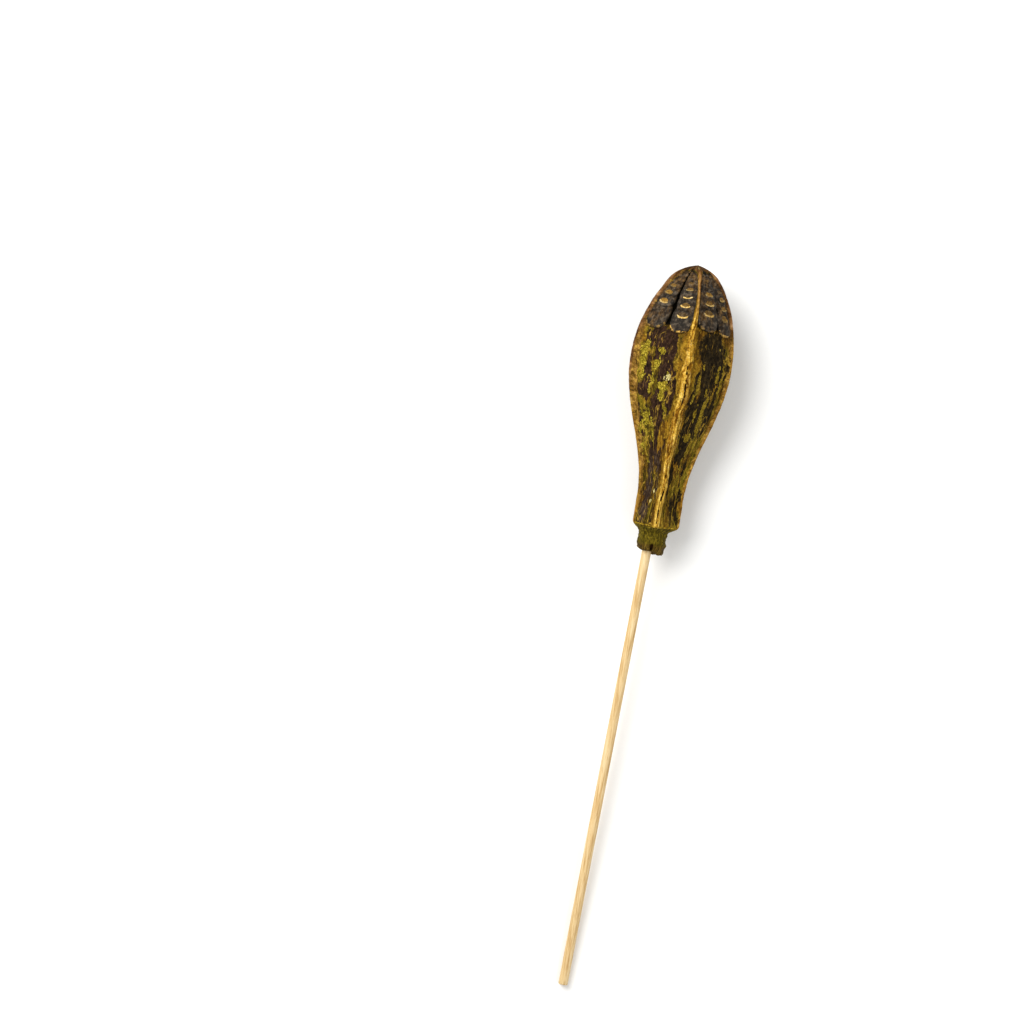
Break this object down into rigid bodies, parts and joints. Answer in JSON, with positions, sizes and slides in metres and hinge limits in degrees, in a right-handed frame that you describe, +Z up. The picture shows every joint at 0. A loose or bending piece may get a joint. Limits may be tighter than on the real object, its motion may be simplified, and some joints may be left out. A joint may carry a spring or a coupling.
{
  "type": "mahogany seed pod on a stick",
  "caption": "Dried five-ribbed mahogany seed pod with rows of seed scales under its tip, on a round wooden stick, for dried arrangements.",
  "frame": {"origin": "middle of the footprint, on the surface that the pod lies on", "axes": "+Y towards the pod's tip, -Y towards the stick's free end, +X to the right seen from above with the tip up, +Z up from the surface"},
  "size_m": [0.0506, 0.3676, 0.0475],
  "materials": {
    "weathered_pod_wood": "dry corky wood, olive and gold with brown-black patches, charcoal scales under the tip",
    "pale_stick_wood": "plain cream wood with a fine straight grain"
  },
  "bodies": {
    "root": {"seed_pod": "weathered_pod_wood", "stick": "pale_stick_wood"}
  },
  "joints": []
}
